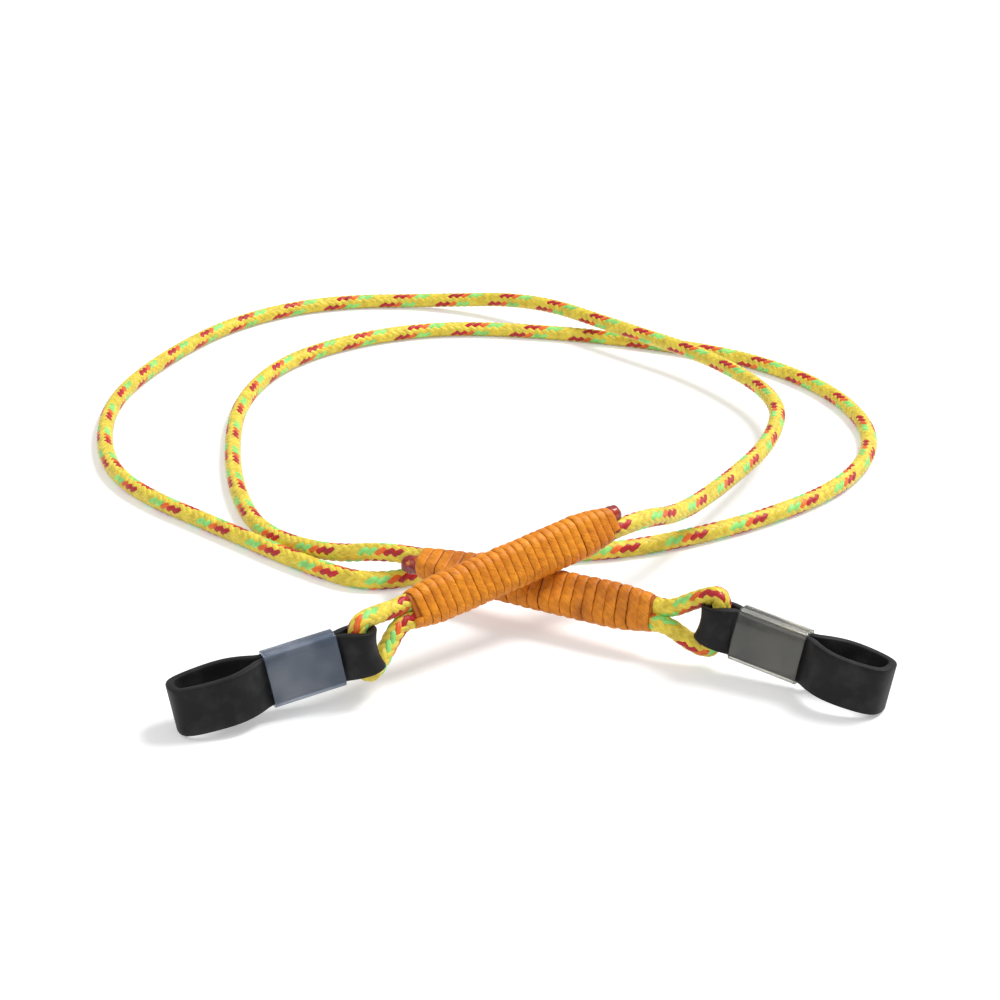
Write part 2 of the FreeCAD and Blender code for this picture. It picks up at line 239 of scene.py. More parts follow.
# ---------------------------------------------------------------- local frames
class Place:
    """A local frame: origin in millimetres and three axes."""

    def __init__(self, origin, x, z):
        self.origin = np.array(origin, float)
        self.x = np.array(x, float) / np.linalg.norm(x)
        self.z = np.array(z, float) / np.linalg.norm(z)
        self.y = np.cross(self.z, self.x)

    def at(self, x, y, z):
        """Points of this frame, given in the frame of the whole strap, in millimetres."""
        x, y, z = (np.asarray(v, float)[..., None] for v in (x, y, z))
        return self.origin + x * self.x + y * self.y + z * self.z


def whipping_place(end):
    """The whipping frame: +x along heading and dip, +z upright and then rolled towards +y."""
    heading, dip, roll = (math.radians(end[key]) for key in ("heading", "dip", "roll"))
    along = np.array([
        math.cos(heading) * math.cos(dip), math.sin(heading) * math.cos(dip), -math.sin(dip)])
    upright = np.array([0, 0, 1]) - along * along[2]
    upright /= np.linalg.norm(upright)
    away = np.cross(along, upright)
    if away[1] < 0:
        away = -away
    return Place(end["inner"], along, upright * math.cos(roll) + away * math.sin(roll))


def band_place(name):
    """The band frame, from the two joints that turn and slide along it."""
    hinge = joints[name + "_loop_swing"]
    slide = joints[name + "_slider_slide"]
    return Place(np.array(hinge["pos_m"]) / MM, slide["axis"], hinge["axis"])


WHIPS = {name: whipping_place(end) for name, end in ENDS.items()}
BANDS = {name: band_place(name) for name in ENDS}


def whipped(name, x, y, z):
    """Points of a whipping, with its legs twisted and drawn together towards its ends."""
    end = ENDS[name]
    x, y, z = np.broadcast_arrays(*(np.asarray(v, float) for v in (x, y, z)))
    share = np.clip(x / (end["turns"] * end["pitch"]), 0, 1)
    inner, outer = (math.radians(twist) for twist in end["twists"])
    turn = inner + (outer - inner) * share
    from_end = np.minimum(share, 1 - share) * end["turns"]
    drawn = 1 - DRAWN_IN * np.clip(1 - from_end / DRAWN_TURNS, 0, 1) ** 2
    z = z * drawn
    return WHIPS[name].at(x, y * np.cos(turn) + z * np.sin(turn), z * np.cos(turn) - y * np.sin(turn))


def leg_point(name, x, leg):
    """The middle of the upper (+1) or lower (-1) cord leg, in millimetres along the whipping."""
    return whipped(name, x, 0, leg * LEG_SPACING / 2)


# ---------------------------------------------------------------- lines
def nurbs_points(control):
    """Points along the NURBS spline that has these control points, in millimetres."""
    curve = bpy.data.curves.new("route", "CURVE")
    curve.dimensions = "3D"
    spline = curve.splines.new("NURBS")
    spline.points.add(len(control) - 1)
    for point, place in zip(spline.points, control):
        point.co = (*place, 1)
    spline.order_u = 3
    spline.use_endpoint_u = True
    spline.resolution_u = 32
    holder = bpy.data.objects.new("route", curve)
    mesh = bpy.data.meshes.new_from_object(holder)
    points = np.array([vertex.co for vertex in mesh.vertices], float)
    bpy.data.objects.remove(holder)
    bpy.data.curves.remove(curve)
    bpy.data.meshes.remove(mesh)
    return points


class Line:
    """A smooth line with a frame that doesn't twist about it, read at any length along it."""

    def __init__(self, points, side=(0, 0, 1)):
        steps = np.linalg.norm(np.diff(points, axis=0), axis=1)
        points = points[np.concatenate([[True], steps > 1e-6])]
        steps = steps[steps > 1e-6]
        self.points = points
        self.lengths = np.concatenate([[0], np.cumsum(steps)])
        self.length = self.lengths[-1]
        tangents = np.gradient(points, self.lengths, axis=0)
        tangents /= np.linalg.norm(tangents, axis=1)[:, None]
        normal = np.array(side, float)
        normals = []
        for tangent in tangents:
            normal = normal - tangent * normal.dot(tangent)
            normal /= np.linalg.norm(normal)
            normals.append(normal)
        self.tangents = tangents
        self.normals = np.array(normals)

    def at(self, lengths):
        """Centres and two directions across the line, for an array of lengths."""
        def read(table):
            return np.stack([np.interp(lengths, self.lengths, table[:, i]) for i in range(3)], -1)
        normals = read(self.normals)
        return read(self.points), normals, np.cross(read(self.tangents), normals)


# ---------------------------------------------------------------- meshes
class Grid:
    """Quads gathered into one mesh, with texture coordinates and a material for each patch."""

    def __init__(self):
        self.points, self.quads, self.uvs, self.slots = [], [], [], []
        self.count = 0

    def patch(self, points, uv=None, slot=0, closed=False):
        """Adds a grid of points, rows by columns.  closed joins the last column to the first."""
        rows, columns = points.shape[:2]
        if uv is None:
            uv = np.zeros((rows, columns, 2))
        index = np.arange(rows * columns).reshape(rows, columns) + self.count
        if closed:
            index = np.concatenate([index, index[:, :1]], 1)
            uv = np.concatenate([uv, uv[:, :1] + np.array([0.0, 1.0])], 1)
        quads = np.stack([index[:-1, :-1], index[1:, :-1], index[1:, 1:], index[:-1, 1:]], -1)
        corners = np.stack([uv[:-1, :-1], uv[1:, :-1], uv[1:, 1:], uv[:-1, 1:]], 2)
        self.points.append(points.reshape(-1, 3))
        self.quads.append(quads.reshape(-1, 4))
        self.uvs.append(corners.reshape(-1, 2))
        self.slots.append(np.full(quads.shape[0] * quads.shape[1], slot))
        self.count += rows * columns

    def cap(self, ring, slot=0, flip=False):
        """Closes a ring of points, all but a pinhole, with quads towards its middle."""
        middle = ring.mean(0)
        inner = middle + (ring - middle) * 0.02
        pair = np.stack([inner, ring] if flip else [ring, inner])
        self.patch(pair, slot=slot, closed=True)

    def object(self, name, materials):
        """One smooth object of all the patches."""
        points = np.concatenate(self.points) * MM
        quads = np.concatenate(self.quads)
        mesh = bpy.data.meshes.new(name)
        mesh.vertices.add(len(points))
        mesh.vertices.foreach_set("co", points.astype(np.float32).ravel())
        mesh.loops.add(quads.size)
        mesh.loops.foreach_set("vertex_index", quads.astype(np.int32).ravel())
        mesh.polygons.add(len(quads))
        mesh.polygons.foreach_set("loop_start", np.arange(0, quads.size, 4, dtype=np.int32))
        mesh.polygons.foreach_set("material_index", np.concatenate(self.slots).astype(np.int32))
        mesh.polygons.foreach_set("use_smooth", np.ones(len(quads), bool))
        layer = mesh.uv_layers.new(name="UVMap")
        layer.data.foreach_set("uv", np.concatenate(self.uvs).astype(np.float32).ravel())
        mesh.update(calc_edges=True)
        mesh.validate()
        for material in materials:
            mesh.materials.append(material)
        made = bpy.data.objects.new(name, mesh)
        bpy.context.scene.collection.objects.link(made)
        return made


# ---------------------------------------------------------------- materials
def new_material(name, colour, roughness, **sockets):
    """A Principled material, its node tree, and its shader node."""
    material = bpy.data.materials.new(name)
    material.use_nodes = True
    shader = material.node_tree.nodes["Principled BSDF"]
    shader.inputs["Base Color"].default_value = (*colour, 1)
    shader.inputs["Roughness"].default_value = roughness
    for socket, value in sockets.items():
        shader.inputs[socket.replace("_", " ")].default_value = value
    return material, material.node_tree, shader


def node(tree, kind, **values):
    """A new node with its inputs or properties set."""
    made = tree.nodes.new(kind)
    for key, value in values.items():
        if key in made.inputs:
            made.inputs[key].default_value = value
        else:
            setattr(made, key, value)
    return made


def noise_at(tree, scale, detail, coordinates="Object"):
    """A noise texture's value, over coordinates scaled along each axis."""
    source = tree.nodes.new("ShaderNodeTexCoord")
    mapping = tree.nodes.new("ShaderNodeMapping")
    mapping.inputs["Scale"].default_value = scale
    tree.links.new(source.outputs[coordinates], mapping.inputs["Vector"])
    texture = node(tree, "ShaderNodeTexNoise", Scale=1.0, Detail=detail)
    tree.links.new(mapping.outputs["Vector"], texture.inputs["Vector"])
    return texture.outputs["Fac"]


def bump(tree, shader, height, strength, distance):
    """Bumps the shader's normal by a height."""
    made = node(tree, "ShaderNodeBump", Strength=strength, Distance=distance)
    tree.links.new(height, made.inputs["Height"])
    tree.links.new(made.outputs["Normal"], shader.inputs["Normal"])


def between(tree, factor, low, high, dark, light):
    """A colour from dark to light as a factor goes from low to high."""
    ramp = tree.nodes.new("ShaderNodeValToRGB")
    ramp.color_ramp.elements[0].position = low
    ramp.color_ramp.elements[1].position = high
    ramp.color_ramp.elements[0].color = (*dark, 1)
    ramp.color_ramp.elements[1].color = (*light, 1)
    tree.links.new(factor, ramp.inputs["Fac"])
    return ramp.outputs["Color"]


def shaded(colour, factor):
    """A colour times a factor."""
    return tuple(min(1.0, c * factor) for c in colour)


def multiplied(tree, first, second):
    """Two colours multiplied."""
    mix = tree.nodes.new("ShaderNodeMix")
    mix.data_type = "RGBA"
    mix.blend_type = "MULTIPLY"
    mix.inputs["Factor"].default_value = 1.0
    tree.links.new(first, mix.inputs["A"])
    tree.links.new(second, mix.inputs["B"])
    return mix.outputs["Result"]


def yarn(name, colour, dark, light):
    """Filament yarn of the braid: fine filaments along each strand, some bright and some in shade."""
    material, tree, shader = new_material(name, colour, 0.42, Sheen_Weight=0.12, Specular_IOR_Level=0.5)
    shader.inputs["Sheen Roughness"].default_value = 0.4
    filaments = noise_at(tree, (0.9, 11, 1), 3.0, "UV")
    tint = between(tree, filaments, 0.34, 0.66, dark, light)
    patches = noise_at(tree, (800, 800, 800), 2.0)
    shade = between(tree, patches, 0.3, 0.62, (0.74, 0.72, 0.66), (1, 1, 1))
    tree.links.new(multiplied(tree, tint, shade), shader.inputs["Base Color"])
    bump(tree, shader, filaments, 0.8, 0.00008)
    return material


YARNS = {
    "yellow": yarn("yarn_yellow", (0.92, 0.70, 0.030), (0.80, 0.53, 0.015), (1.0, 0.88, 0.10)),
    "green": yarn("yarn_green", (0.30, 0.90, 0.20), (0.24, 0.74, 0.13), (0.42, 1.0, 0.30)),
    "orange": yarn("yarn_orange", (1.0, 0.14, 0.010), (0.88, 0.08, 0.006), (1.0, 0.24, 0.02)),
    "red": yarn("yarn_red", (0.56, 0.006, 0.014), (0.38, 0.003, 0.008), (0.72, 0.012, 0.022)),
    # The core's darker yarn is painted shade in the gaps between the strands.
    "core": yarn("yarn_core_painted_shade", (0.34, 0.22, 0.02), (0.24, 0.15, 0.01), (0.40, 0.28, 0.03)),
}
YARN_SLOTS = {name: index for index, name in enumerate(YARNS)}


def thread_material(name, colour, brown):
    """Waxed whipping thread: fibres along each ply, darker patches of soaked-in wax, and fine specks."""
    material, tree, shader = new_material(name, colour, 0.52, Sheen_Weight=0.05, Specular_IOR_Level=0.35)
    fibres = noise_at(tree, (1.1, 13, 1), 3.0, "UV")
    tint = between(tree, fibres, 0.32, 0.66, shaded(colour, 0.78), shaded(colour, 1.18))
    soaked = noise_at(tree, (260, 260, 260), 2.0)
    shade = between(tree, soaked, 0.30, 0.60, brown, (1, 1, 1))
    specks = noise_at(tree, (1500, 1500, 1500), 3.0)
    speckled = between(tree, specks, 0.36, 0.62, (0.80, 0.74, 0.66), (1.0, 1.0, 1.0))
    colours = multiplied(tree, multiplied(tree, tint, shade), speckled)
    tree.links.new(colours, shader.inputs["Base Color"])
    bump(tree, shader, fibres, 0.6, 0.00008)
    return material


def tip_material():
    """Melted cord: glossy dark red with traces of the other yarns."""
    material, tree, shader = new_material("melted_cord", (0.16, 0.008, 0.012), 0.30, Coat_Weight=0.25)
    traces = noise_at(tree, (620, 620, 620), 3.0)
    ramp = tree.nodes.new("ShaderNodeValToRGB")
    stops = [
        (0.0, (0.10, 0.004, 0.008)), (0.48, (0.22, 0.007, 0.012)), (0.60, (0.34, 0.012, 0.012)),
        (0.66, (0.60, 0.09, 0.01)), (0.72, (0.60, 0.40, 0.05)), (0.80, (0.25, 0.40, 0.10)),
    ]
    while len(ramp.color_ramp.elements) < len(stops):
        ramp.color_ramp.elements.new(1.0)
    for element, (position, colour) in zip(ramp.color_ramp.elements, stops):
        element.position = position
        element.color = (*colour, 1)
    tree.links.new(traces, ramp.inputs["Fac"])
    tree.links.new(ramp.outputs["Color"], shader.inputs["Base Color"])
    bump(tree, shader, traces, 0.4, 0.0002)
    return material


def rubber_material():
    """Black band rubber: satin, with a fine grain, dust and paler rubbed patches."""
    colour = (0.008, 0.008, 0.009)
    material, tree, shader = new_material("band_rubber", colour, 0.55, Specular_IOR_Level=0.22)
    grain = noise_at(tree, (9000, 9000, 9000), 3.0)
    rubbed = noise_at(tree, (420, 420, 420), 4.0)
    tint = between(tree, rubbed, 0.45, 0.78, shaded(colour, 0.8), (0.026, 0.026, 0.027))
    tree.links.new(tint, shader.inputs["Base Color"])
    bump(tree, shader, grain, 0.25, 0.00005)
    return material


def sleeve_material(name, dark, light, haze, roughness):
    """Clear soft plastic, darker in cloudy patches.  haze is the share of light it scatters back."""
    material, tree, shader = new_material(
        name, light, roughness, Transmission_Weight=1 - haze, IOR=1.42, Specular_IOR_Level=0.5)
    creases = noise_at(tree, (160, 160, 160), 2.0)
    tree.links.new(between(tree, creases, 0.40, 0.60, dark, light), shader.inputs["Base Color"])
    bump(tree, shader, creases, 0.25, 0.0004)
    return material


THREADS = {
    "left": thread_material("whipping_thread_left", (0.92, 0.31, 0.008), (0.84, 0.70, 0.55)),
    "right": thread_material("whipping_thread_right", (0.86, 0.29, 0.010), (0.66, 0.56, 0.46)),
}
# The core under the turns takes a darker thread colour: painted shade between the turns.
THREAD_SHADE = thread_material("painted_shade_between_turns", (0.52, 0.14, 0.006), (0.8, 0.7, 0.6))
TIP = tip_material()
RUBBER = rubber_material()
SLEEVES = {
    "left": sleeve_material("clear_sleeve_left", (0.30, 0.37, 0.50), (0.62, 0.68, 0.79), 0.16, 0.12),
    "right": sleeve_material("clear_sleeve_right", (0.72, 0.72, 0.68), (0.95, 0.93, 0.84), 0.03, 0.08),
}


# ---------------------------------------------------------------- braid
def strand_radius(along, family, number):
    """Outside radius along one strand: over two strands of the other family, then under two."""
    crossings = 2 * STRANDS * along / BRAID_PITCH
    if family > 0:
        turn = crossings + 2 * number - 0.5
    else:
        turn = 2 * number - crossings - 2.5
    wave = np.tanh(CROSSING_STEEPNESS * np.cos(math.pi / 2 * turn)) / math.tanh(CROSSING_STEEPNESS)
    return MIDDLE_R + (OVER_R - UNDER_R) / 2 * wave


def add_strand(grid, line, family, number, slot, squeeze):
    """One flat strand, wound along the line.  family is +1 or -1, the way it turns."""
    along = np.linspace(0, line.length, int(line.length / STRAND_STEP) + 2)
    across = STRAND_SHARES * STRAND_WIDTH
    drops = STRAND_DEPTH * (np.abs(STRAND_SHARES) * 2) ** STRAND_ROUNDING
    lengths = along[:, None] - family * math.sin(BRAID_ANGLE) * across[None, :]
    angles = (
        family * 2 * math.pi * along[:, None] / BRAID_PITCH
        + 2 * math.pi * number / STRANDS
        + math.cos(BRAID_ANGLE) * across[None, :] / MIDDLE_R
    )
    radii = squeeze * (strand_radius(along, family, number)[:, None] - drops[None, :])
    centres, normals, sides = line.at(np.clip(lengths, 0, line.length))
    points = centres + radii[..., None] * (
        np.cos(angles)[..., None] * normals + np.sin(angles)[..., None] * sides)
    grid.patch(points, uv_grid(along[:, None], STRAND_SHARES + UV_BETWEEN_STRANDS * number), slot)


def add_core(grid, line, slot, squeeze):
    """The round core, which closes the gaps between the strands; its darker yarn is painted shade in those
    gaps.
    """
    along = np.linspace(0, line.length, int(line.length / CORE_STEP) + 2)
    centres, normals, across = line.at(along)
    angles = around(CORE_SIDES)
    points = centres[:, None] + squeeze * CORE_R * (
        np.cos(angles)[None, :, None] * normals[:, None] + np.sin(angles)[None, :, None] * across[:, None])
    grid.patch(points, uv_grid(along[:, None], angles / UV_ROUND), slot, closed=True)
    grid.cap(points[0], slot, flip=True)
    grid.cap(points[-1], slot)


def braid(name, line, squeeze=1.0):
    """The braid along a line as two pieces: the yellow strands on their core, and the tracers."""
    plain, tracers = Grid(), Grid()
    add_core(plain, line, YARN_SLOTS["core"], squeeze)
    for number, colour in enumerate(TRACER_COLOURS):
        add_strand(plain, line, +1, number, YARN_SLOTS["yellow"], squeeze)
        target = plain if colour == "yellow" else tracers
        add_strand(target, line, -1, number, YARN_SLOTS[colour], squeeze)
    materials = list(YARNS.values())
    pieces = [plain.object(name + "_braid", materials), tracers.object(name + "_tracers", materials)]
    for piece in pieces:
        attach(piece, "strap")
    return pieces


def free_route():
    """Control points of the free cord, from the left whipping to the right one."""
    exits = {}
    for name, end in ENDS.items():
        leg = -end["tail_leg"]
        exits[name] = [leg_point(name, 0, leg), leg_point(name, -EXIT_RUN, leg)]
    return exits["left"] + [np.array(point) for point in ROUTE] + exits["right"][::-1]


def make_free_cord():
    """The free cord, which is braided on for a short way inside each whipping."""
    line = Line(nurbs_points(free_route()))
    hidden = {name: leg_point(name, CORD_HIDDEN, -end["tail_leg"]) for name, end in ENDS.items()}
    braided = Line(np.vstack([hidden["left"], line.points, hidden["right"]]))
    body, tracers = braid("cord", braided)
    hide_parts("cord")
    print("free cord length %.1f" % line.length)


# ---------------------------------------------------------------- eyes
def eye_half(name, leg, middle):
    """Control points from inside the whipping, out of one leg and over the band's edge to the middle."""
    end, band = ENDS[name], BANDS[name]
    length = end["turns"] * end["pitch"]
    x, z, bow = EYE_EDGES[name][leg]
    throat = leg_point(name, length + EYE_THROAT, leg)
    corner = band.at(x, 0, z)
    return [
        leg_point(name, length - EYE_HIDDEN, leg), leg_point(name, length - EYE_STRAIGHT, leg), throat,
        mixed(throat, corner, EYE_BOW_AT) + band.z * leg * bow, corner,
        mixed(middle, corner, EYE_BULGE_AT) + band.x * EYE_BULGE,
    ]


def make_eye(name):
    """The cord out of one leg, over the band's upper edge, down inside the fold and back."""
    band, edges = BANDS[name], EYE_EDGES[name]
    middle = band.at(EYE_DEPTH, 0, (edges[1][1] + edges[-1][1]) / 2)
    control = eye_half(name, 1, middle) + [middle] + eye_half(name, -1, middle)[::-1]
    line = Line(nurbs_points(control), side=band.y)
    pieces = braid(name + "_eye", line, EYE_SQUEEZE)
    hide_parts(name + "_cord_eye")


# ---------------------------------------------------------------- whippings
def stadium(share, radius):
    """Point and outward direction at shares of the way round both legs: y and z of each."""
    half = LEG_SPACING / 2
    arc, side = math.pi * radius, LEG_SPACING
    run = np.mod(share, 1.0) * 2 * (arc + side)
    parts = [run < side, run < side + arc, run < 2 * side + arc]
    angle = np.select(
        parts, [0 * run, (run - side) / radius, 0 * run + math.pi],
        (run - 2 * side - arc) / radius + math.pi)
    base = np.select(parts, [run - half, 0 * run + half, half - (run - side - arc)], -half)
    out_y, out_z = np.cos(angle), np.sin(angle)
    return out_y * radius, base + out_z * radius, out_y, out_z


def wander(turns, rate, seed):
    """Smooth noise along the turns of the thread."""
    return np.array([noise.noise(Vector((turn * rate, 0.0, seed))) for turn in turns])


def make_whipping(name):
    """The thread as one long strand of two plies, over a darker core, painted shade between the turns,
    that closes the gaps.
    """
    end = ENDS[name]
    turns, pitch = end["turns"], end["pitch"]
    base_r = CORD_D / 2
    per_turn = 2 * (math.pi * base_r + LEG_SPACING)
    share = np.linspace(0, turns - THREAD_SHORT, int(turns * per_turn / THREAD_STEP))
    from_end = np.minimum(share, turns - share)
    taper = TAPER_HEIGHT + (1 - TAPER_HEIGHT) * np.clip(from_end / TAPER_TURNS, 0, 1)
    height = THREAD_T * RIDGE_HALF_HEIGHT * taper * (1 + SWELL * wander(share, SWELL_RATE, seed=5.0))
    x = (share + THREAD_START) * pitch + wander(share, DRIFT_RATE, seed=turns) * DRIFT * pitch
    y, z, out_y, out_z = stadium(share, base_r)
    angles = around(THREAD_SIDES)
    twist = share * per_turn * 2 * math.pi / PLY_PITCH
    lobes = 1 + PLY_DEPTH * np.cos(2 * (angles[None, :] - twist[:, None]))
    out = height[:, None] * (1 + np.sin(angles)[None, :] * lobes)
    spread = 1 + (lobes - 1) * PLY_SPREAD
    over = x[:, None] + pitch * RIDGE_HALF_WIDTH * np.cos(angles)[None, :] * spread
    rows = whipped(name, over, y[:, None] + out * out_y[:, None], z[:, None] + out * out_z[:, None])
    uv = uv_grid(share[:, None] * per_turn, angles / UV_ROUND + twist[:, None] / UV_ROUND)
    grid = Grid()
    grid.patch(rows, uv, closed=True)
    grid.cap(rows[0], flip=True)
    grid.cap(rows[-1])
    # The darker core: painted shade between the turns.
    ring = np.linspace(0, 1, SHADE_SIDES + 1)[:-1]
    y, z = stadium(ring, base_r + SHADE_LIFT)[:2]
    stops = np.linspace(SHADE_INSET * pitch, (turns - SHADE_INSET) * pitch, SHADE_STOPS)
    shade = whipped(name, stops[:, None], y[None, :], z[None, :])
    grid.patch(shade, uv_grid(stops[:, None], ring * per_turn), 1, closed=True)
    grid.cap(shade[0], 1, flip=True)
    grid.cap(shade[-1], 1)
    piece = grid.object(name + "_whipping_thread", [THREADS[name], THREAD_SHADE])
    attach(piece, "strap")
    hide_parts(name + "_whipping")


# ---------------------------------------------------------------- melted tips
def make_tip(name):
    """The cord's tail, melted to a lumpy bead."""
    whip = WHIPS[name]
    middle = leg_point(name, 0, ENDS[name]["tail_leg"])
    share = np.linspace(-BEAD_HIDDEN, 1, BEAD_ROWS)
    rounding = np.clip((share - BEAD_ROUND_FROM) / (1 - BEAD_ROUND_FROM), 0, 1)
    radius = BEAD_R * np.sqrt(np.clip(1 - rounding ** BEAD_ROUNDING, 0, 1))
    angles = around(BEAD_COLUMNS)
    seed = len(name)        # differs between left and right
    points = np.zeros((BEAD_ROWS, BEAD_COLUMNS, 3))
    for i in range(BEAD_ROWS):
        for j in range(BEAD_COLUMNS):
            y = math.cos(angles[j]) * radius[i]
            z = math.sin(angles[j]) * radius[i]
            place = (share[i] * LUMPS_ALONG, y * LUMPS_ACROSS, z * LUMPS_ACROSS + seed)
            lump = 1 + BEAD_LUMPS * noise.noise(Vector(place))
            points[i, j] = middle - whip.x * share[i] * TAIL_LENGTH + (whip.y * y + whip.z * z) * lump
    grid = Grid()
    grid.patch(points[:-1], uv_grid(share[:-1, None], angles / UV_ROUND), closed=True)
    grid.cap(points[-2])
    piece = grid.object(name + "_melted_bead", [TIP])
    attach(piece, "strap")
    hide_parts(name + "_melted_tip")


# ---------------------------------------------------------------- rubber bands
def half_width(x, narrow):
    """Half the band's width along it: a narrow value at the fold's back, full width in the slider."""
    return narrow + (BAND_WIDTH / 2 - narrow) * eased((x + FOLD_REACH) / (2 * FOLD_REACH))


def band_line(reach):
    """Middle line of one wall, from the fold's back to the loop's tip: x and y, smoothly joined."""
    fold_r = CORD_D / 2 + FOLD_CLEAR + BAND_T / 2
    half_gap = (BAND_T + DOUBLED_GAP) / 2
    slider_end = SLIDER_START + SLIDER_LENGTH
    side = LOOP_OUTER_HALF - BAND_T / 2
    tip = reach - BAND_T / 2
    control = [
        (-fold_r, 0, 0), (-fold_r, fold_r * 0.66, 0), (-fold_r * 0.25, fold_r * 1.16, 0),
        (fold_r * 0.55, fold_r * 0.8, 0), (WALLS_MEET, half_gap, 0), (WALLS_MEET + 1.2, half_gap, 0),
        (slider_end - 2, half_gap, 0), (slider_end + 0.3, half_gap, 0), (slider_end + 2.0, side * 0.72, 0),
        (LOOP_WIDEST + 0.3, side * 1.05, 0), (LOOP_WIDEST + 2.7, side * 1.05, 0),
        (tip - 0.8, side * 0.82, 0), (tip, side * 0.42, 0), (tip, 0, 0),
    ]
    return nurbs_points(control)[:, :2]


def wall_outline():
    """Rounded rectangle across the wall: offset from its middle, share of the half width, and inset."""
    half_t, corner = BAND_T / 2, BAND_CORNER
    shares = (0.75, 0.5, 0.25, 0, -0.25, -0.5, -0.75)
    outline = []
    for sign_t, sign_w, first in CORNERS:
        for turn in (0, 45, 90):
            angle = math.radians(first + turn)
            offset = sign_t * (half_t - corner) + corner * math.cos(angle)
            outline.append((offset, sign_w, corner * (math.sin(angle) - sign_w)))
        if sign_t != sign_w:
            outline += [(sign_t * half_t, sign_w * share, 0) for share in shares]
    return np.array(outline)


def wall_rows(line, narrow_top, narrow_bottom):
    """The wall's outline at each point of its line, as rows of band coordinates."""
    tangent = np.gradient(line, axis=0)
    tangent /= np.linalg.norm(tangent, axis=1)[:, None]
    offset, share, inset = wall_outline().T
    x = line[:, :1] - tangent[:, 1:] * offset
    y = line[:, 1:] + tangent[:, :1] * offset
    along = line[:, :1]
    half = np.where(share > 0, half_width(along, narrow_top), half_width(along, narrow_bottom))
    return saddled(np.stack([x, y, share * half + inset], -1))


def saddled(points):
    """Bends the fold round the cord's curve, and leaves the rest of the band straight."""
    x, z = points[..., 0], points[..., 2]
    radius = x + SADDLE_R
    bent = np.sqrt(np.maximum(radius ** 2 - z ** 2, 0)) - radius
    out = points.copy()
    out[..., 0] = x + bent * eased(1 - (x - SADDLE_UNTIL) / SADDLE_FADE)
    return out


def make_band(name):
    """The fold with the doubled walls in the slider, and the temple loop that the slider squeezes."""
    band = BANDS[name]
    line = band_line(LOOP_REACHES[name])
    whole = np.concatenate([line[::-1] * np.array([1, -1]), line[1:]])
    rows = wall_rows(whole, *FOLD_HALF_WIDTHS[name])
    inside = np.flatnonzero(whole[:, 0] <= SPLIT_X)
    first, last = inside[0], inside[-1]
    parts = {
        "fold": rows[first:last + 1],
        "loop": np.concatenate([rows[last:-1], rows[:first + 1]]),
    }
    made = {}
    for part, part_rows in parts.items():
        grid = Grid()
        placed = band.at(part_rows[..., 0], part_rows[..., 1], part_rows[..., 2])
        grid.patch(placed, closed=True)
        grid.cap(placed[0], flip=True)
        grid.cap(placed[-1])
        made[part] = grid.object(name + "_band_" + part, [RUBBER])
        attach(made[part], name + "_loop")
    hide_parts(name + "_temple_loop")
    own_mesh(made["loop"])


# ---------------------------------------------------------------- sliders
def sleeve_ring(half_y, half_z, corner, crown):
    """Rounded rectangle whose long sides are slightly crowned, as (y, z) points."""
    points = []
    for sign_y, sign_z, first in CORNERS:
        for turn in range(0, 91, 15):
            angle = math.radians(first + turn)
            points.append((
                sign_y * (half_y - corner) + corner * math.cos(angle),
                sign_z * (half_z - corner) + corner * math.sin(angle)))
    ring = []
    for index, (y, z) in enumerate(points):
        ring.append((y, z))
        after = points[(index + 1) % len(points)]
        if abs(after[1] - z) > BROAD_SIDE:
            for share in (0.2, 0.4, 0.6, 0.8):
                bulge = crown * (1 - (2 * share - 1) ** 2)
                ring.append((y + math.copysign(bulge, y), z + (after[1] - z) * share))
    return np.array(ring)


def make_slider(name):
    """The sleeve round the doubled band, as one closed wall with rounded ends."""
    band = BANDS[name]
    half_y = BAND_T + DOUBLED_GAP / 2 + SLIDER_CLEAR
    half_z = BAND_WIDTH / 2 + SLIDER_CLEAR
    inner = sleeve_ring(half_y, half_z, SLIDER_INNER_CORNER, 0.0)
    outer = sleeve_ring(half_y + SLIDER_WALL, half_z + SLIDER_WALL, SLIDER_OUTER_CORNER, SLIDER_CROWN)
    face, brim = mixed(inner, outer, 0.55), mixed(inner, outer, 0.97)
    start, stop = SLIDER_START, SLIDER_START + SLIDER_LENGTH
    rings = [
        (start, inner), (start + SLIDER_LIP, inner), (stop - SLIDER_LIP, inner), (stop, inner),
        (stop, face), (stop, brim), (stop - SLIDER_LIP, outer),
        (start + SLIDER_LIP, outer), (start, brim), (start, face), (start, inner),
    ]
    rows = [band.at(np.full(len(ring), x), ring[:, 0], ring[:, 1]) for x, ring in rings]
    grid = Grid()
    grid.patch(np.array(rows), closed=True)
    piece = grid.object(name + "_sleeve", [SLEEVES[name]])
    merge(piece)
    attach(piece, name + "_sleeve")
    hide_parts(name + "_slider")


def merge(piece):
    """Joins vertices that lie in one place."""
    work = bmesh.new()
    work.from_mesh(piece.data)
    bmesh.ops.remove_doubles(work, verts=work.verts, dist=1e-7)
    bmesh.ops.recalc_face_normals(work, faces=work.faces)
    work.to_mesh(piece.data)
    work.free()


# ---------------------------------------------------------------- stage
def larger(tree, first, second):
    """The larger of two values."""
    made = node(tree, "ShaderNodeMath", operation="MAXIMUM")
    tree.links.new(first, made.inputs[0])
    tree.links.new(second, made.inputs[1])
    return made.outputs[0]


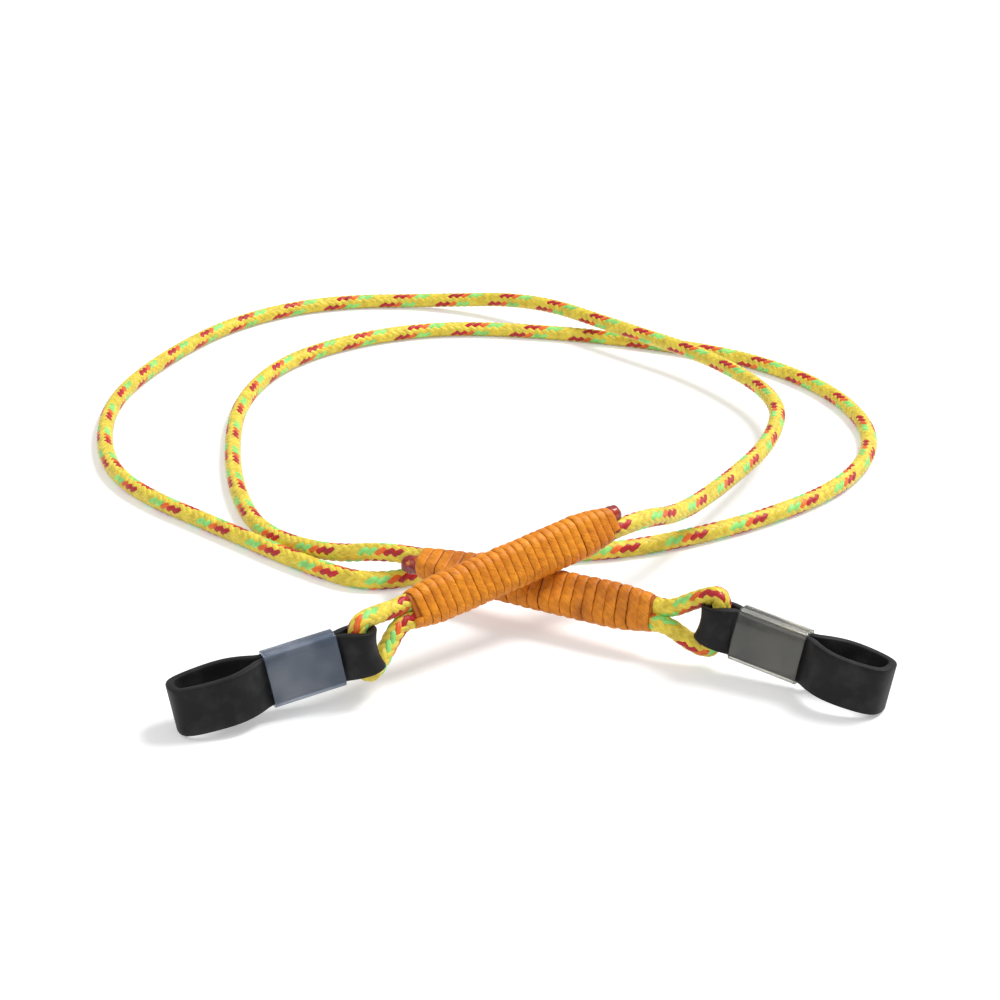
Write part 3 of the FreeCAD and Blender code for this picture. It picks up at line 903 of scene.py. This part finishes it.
def floor_material():
    """Matt floor that glows a little wherever it is seen, also in a reflection or through a piece."""
    material = bpy.data.materials.new("floor")
    material.use_nodes = True
    tree = material.node_tree
    tree.nodes.clear()
    paths = tree.nodes.new("ShaderNodeLightPath").outputs
    seen = larger(tree, paths["Is Camera Ray"], paths["Is Glossy Ray"])
    seen = larger(tree, seen, paths["Is Transmission Ray"])
    lift = node(tree, "ShaderNodeMath", operation="MULTIPLY")
    lift.inputs[1].default_value = FLOOR_GLOW
    tree.links.new(seen, lift.inputs[0])
    diffuse = node(tree, "ShaderNodeBsdfDiffuse", Color=(FLOOR_GREY, FLOOR_GREY, FLOOR_GREY, 1))
    glow = node(tree, "ShaderNodeEmission", Color=(1, 1, 1, 1))
    tree.links.new(lift.outputs[0], glow.inputs["Strength"])
    both = tree.nodes.new("ShaderNodeAddShader")
    tree.links.new(diffuse.outputs[0], both.inputs[0])
    tree.links.new(glow.outputs[0], both.inputs[1])
    output = tree.nodes.new("ShaderNodeOutputMaterial")
    tree.links.new(both.outputs[0], output.inputs["Surface"])
    return material


def make_stage():
    """The floor that the strap lies on."""
    mesh = bpy.data.meshes.new("floor")
    corners = [(x * FLOOR_HALF, y * FLOOR_HALF, 0) for x, y in ((-1, -1), (1, -1), (1, 1), (-1, 1))]
    mesh.from_pydata(corners, [], [(0, 1, 2, 3)])
    mesh.materials.append(floor_material())
    floor = bpy.data.objects.new("floor", mesh)
    bpy.context.scene.collection.objects.link(floor)


def area_lamp(name, place, size, power):
    """A round lamp that points at the strap."""
    lamp = bpy.data.lights.new(name, "AREA")
    lamp.shape = "DISK"
    lamp.size = size
    lamp.energy = power
    holder = bpy.data.objects.new(name, lamp)
    holder.location = place
    holder.rotation_euler = (Vector(LAMP_TARGET) - Vector(place)).to_track_quat("-Z", "Y").to_euler()
    bpy.context.scene.collection.objects.link(holder)


def make_light_and_camera():
    """White surroundings, the lamps, and the camera that stands where the photograph was taken from."""
    world = bpy.data.worlds.new("studio")
    world.use_nodes = True
    background = world.node_tree.nodes["Background"]
    background.inputs["Color"].default_value = (1, 1, 1, 1)
    background.inputs["Strength"].default_value = WORLD_STRENGTH
    bpy.context.scene.world = world
    for name, (place, size, power) in LAMPS.items():
        area_lamp(name, place, size, power)
    camera = bpy.data.cameras.new("camera")
    camera.lens = CAMERA_LENS
    camera.sensor_width = SENSOR
    camera.clip_start = CAMERA_NEAR
    holder = bpy.data.objects.new("camera", camera)
    holder.location = np.array(CAMERA) * MM
    holder.rotation_euler = (math.radians(90 - CAMERA_PITCH), 0, 0)
    bpy.context.scene.collection.objects.link(holder)
    bpy.context.scene.camera = holder
    bpy.context.scene.view_settings.view_transform = "Standard"


make_stage()
make_light_and_camera()
make_free_cord()
for end_name in ENDS:
    make_eye(end_name)
    make_whipping(end_name)
    make_tip(end_name)
    make_band(end_name)
    make_slider(end_name)
